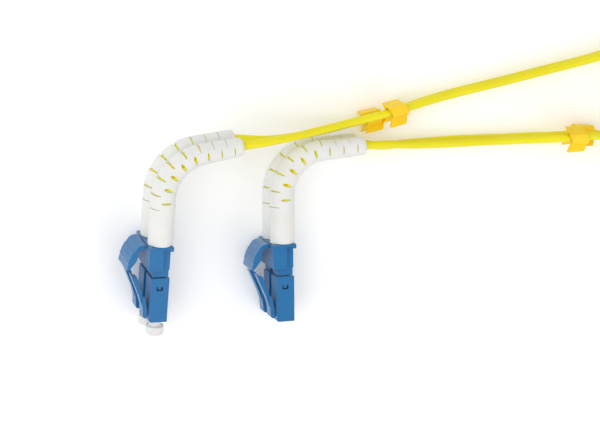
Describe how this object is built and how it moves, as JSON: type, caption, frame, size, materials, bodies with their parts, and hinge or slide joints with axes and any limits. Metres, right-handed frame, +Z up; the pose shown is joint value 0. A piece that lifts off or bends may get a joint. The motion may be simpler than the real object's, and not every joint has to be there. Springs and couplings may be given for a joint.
{
  "type": "fiber optic patch cord",
  "caption": "Duplex LC fibre patch cord: two clipped plug pairs with bent flexible boots, a two-legged jacketed cord with clip-on markers, spare length in a tied coil.",
  "frame": {"origin": "on the resting face of the right-hand duplex clip, under the middle of the clip and the ferrule axes", "axes": "+Z up from the table; -Y the way the right-hand plug points; +X the way its boots turn and the cord leaves"},
  "size_m": [0.1805, 0.0733, 0.0182],
  "materials": {
    "blue_housing": "satin moulded",
    "white_boot": "matt soft",
    "yellow_jacket": "satin",
    "orange_marker": "satin",
    "zirconia": "polished",
    "steel": "bright",
    "brass": "plain",
    "cap": "translucent white",
    "tie": "woven hook and loop"
  },
  "bodies": {
    "patch_cord": {"right_lower_front_housing": "blue_housing", "right_lower_spring": "steel", "right_lower_back_post": "brass", "right_lower_crimp_sleeve": "steel", "right_lower_rear_body": "blue_housing", "right_lower_boot": "white_boot", "right_lower_leg": "yellow_jacket", "right_upper_front_housing": "blue_housing", "right_upper_spring": "steel", "right_upper_back_post": "brass", "right_upper_crimp_sleeve": "steel", "right_upper_rear_body": "blue_housing", "right_upper_boot": "white_boot", "right_upper_leg": "yellow_jacket", "right_duplex_clip": "blue_housing", "left_lower_front_housing": "blue_housing", "left_lower_spring": "steel", "left_lower_back_post": "brass", "left_lower_crimp_sleeve": "steel", "left_lower_rear_body": "blue_housing", "left_lower_boot": "white_boot", "left_lower_leg": "yellow_jacket", "left_upper_front_housing": "blue_housing", "left_upper_spring": "steel", "left_upper_back_post": "brass", "left_upper_crimp_sleeve": "steel", "left_upper_rear_body": "blue_housing", "left_upper_boot": "white_boot", "left_upper_leg": "yellow_jacket", "left_duplex_clip": "blue_housing", "cord_coil": "yellow_jacket", "coil_tie": "tie"},
    "right_lower_latch": {"right_lower_latch_arm": "blue_housing"},
    "right_lower_ferrule_set": {"right_lower_ferrule": "zirconia", "right_lower_ferrule_flange": "steel"},
    "right_upper_latch": {"right_upper_latch_arm": "blue_housing"},
    "right_upper_ferrule_set": {"right_upper_ferrule": "zirconia", "right_upper_ferrule_flange": "steel"},
    "right_trigger_body": {"right_trigger": "blue_housing"},
    "left_lower_latch": {"left_lower_latch_arm": "blue_housing"},
    "left_lower_ferrule_set": {"left_lower_ferrule": "zirconia", "left_lower_ferrule_flange": "steel"},
    "left_lower_cap": {"left_lower_dust_cap": "cap"},
    "left_upper_latch": {"left_upper_latch_arm": "blue_housing"},
    "left_upper_ferrule_set": {"left_upper_ferrule": "zirconia", "left_upper_ferrule_flange": "steel"},
    "left_upper_cap": {"left_upper_dust_cap": "cap"},
    "left_trigger_body": {"left_trigger": "blue_housing"},
    "left_lower_marker_body": {"left_lower_marker": "orange_marker"},
    "left_upper_marker_body": {"left_upper_marker": "orange_marker"},
    "right_upper_marker_body": {"right_upper_marker": "orange_marker"},
    "right_lower_marker_body": {"right_lower_marker": "orange_marker"}
  },
  "joints": [
    {"name": "right_lower_latch_flex", "type": "hinge", "parent": "patch_cord", "child": "right_lower_latch", "pos_m": [-0.0026, -0.0154, 0.00308], "axis": [0, 0, 1], "range_deg": [-6, 0], "stiffness_Nm_per_rad": 0.01},
    {"name": "right_lower_ferrule_float", "type": "slide", "parent": "patch_cord", "child": "right_lower_ferrule_set", "axis": [0, 1, 0], "range_m": [0, 0.001], "stiffness_N_per_m": 500, "springref_m": -0.002, "deforming": ["right_lower_spring"]},
    {"name": "right_upper_latch_flex", "type": "hinge", "parent": "patch_cord", "child": "right_upper_latch", "pos_m": [-0.0026, -0.0154, 0.00932], "axis": [0, 0, 1], "range_deg": [-6, 0], "stiffness_Nm_per_rad": 0.01},
    {"name": "right_upper_ferrule_float", "type": "slide", "parent": "patch_cord", "child": "right_upper_ferrule_set", "axis": [0, 1, 0], "range_m": [0, 0.001], "stiffness_N_per_m": 500, "springref_m": -0.002, "deforming": ["right_upper_spring"]},
    {"name": "right_trigger_press", "type": "hinge", "parent": "patch_cord", "child": "right_trigger_body", "pos_m": [-0.0035, 0.0025, 0.0062], "axis": [0, 0, 1], "range_deg": [0, 12], "stiffness_Nm_per_rad": 0.02},
    {"name": "left_lower_latch_flex", "type": "hinge", "parent": "patch_cord", "child": "left_lower_latch", "pos_m": [-0.03502, -0.0115, 0.00306], "axis": [0.0447, -0.1755, 0.9835], "range_deg": [-6, 0], "stiffness_Nm_per_rad": 0.01},
    {"name": "left_lower_ferrule_float", "type": "slide", "parent": "patch_cord", "child": "left_lower_ferrule_set", "axis": [0.043, 0.9839, 0.1736], "range_m": [0, 0.001], "stiffness_N_per_m": 500, "springref_m": -0.002, "deforming": ["left_lower_spring"]},
    {"name": "left_lower_cap_pull", "type": "slide", "parent": "patch_cord", "child": "left_lower_cap", "axis": [-0.043, -0.9839, -0.1736], "range_m": [0, 0.005]},
    {"name": "left_upper_latch_flex", "type": "hinge", "parent": "patch_cord", "child": "left_upper_latch", "pos_m": [-0.03474, -0.0126, 0.00921], "axis": [0.0447, -0.1755, 0.9835], "range_deg": [-6, 0], "stiffness_Nm_per_rad": 0.01},
    {"name": "left_upper_ferrule_float", "type": "slide", "parent": "patch_cord", "child": "left_upper_ferrule_set", "axis": [0.043, 0.9839, 0.1736], "range_m": [0, 0.001], "stiffness_N_per_m": 500, "springref_m": -0.002, "deforming": ["left_upper_spring"]},
    {"name": "left_upper_cap_pull", "type": "slide", "parent": "patch_cord", "child": "left_upper_cap", "axis": [-0.043, -0.9839, -0.1736], "range_m": [0, 0.005]},
    {"name": "left_trigger_press", "type": "hinge", "parent": "patch_cord", "child": "left_trigger_body", "pos_m": [-0.03501, 0.00559, 0.00929], "axis": [0.0447, -0.1755, 0.9835], "range_deg": [0, 12], "stiffness_Nm_per_rad": 0.02},
    {"name": "left_lower_marker_slide", "type": "slide", "parent": "patch_cord", "child": "left_lower_marker_body", "axis": [0.9826, 0.1717, -0.0715], "range_m": [-0.002, 0]},
    {"name": "left_upper_marker_slide", "type": "slide", "parent": "patch_cord", "child": "left_upper_marker_body", "axis": [0.9675, 0.187, -0.17], "range_m": [0, 0.002]},
    {"name": "right_upper_marker_slide", "type": "slide", "parent": "patch_cord", "child": "right_upper_marker_body", "axis": [0.9987, 0.0263, 0.0425], "range_m": [-0.0015, 0.0015]},
    {"name": "right_lower_marker_slide", "type": "slide", "parent": "patch_cord", "child": "right_lower_marker_body", "axis": [0.9989, -0.0337, 0.0337], "range_m": [-0.0015, 0.0015]}
  ],
  "couplings": [
    {"joint": "right_lower_latch_flex", "follows": "right_trigger_press", "ratio": -0.5},
    {"joint": "right_upper_latch_flex", "follows": "right_trigger_press", "ratio": -0.5},
    {"joint": "left_lower_latch_flex", "follows": "left_trigger_press", "ratio": -0.5},
    {"joint": "left_upper_latch_flex", "follows": "left_trigger_press", "ratio": -0.5}
  ]
}
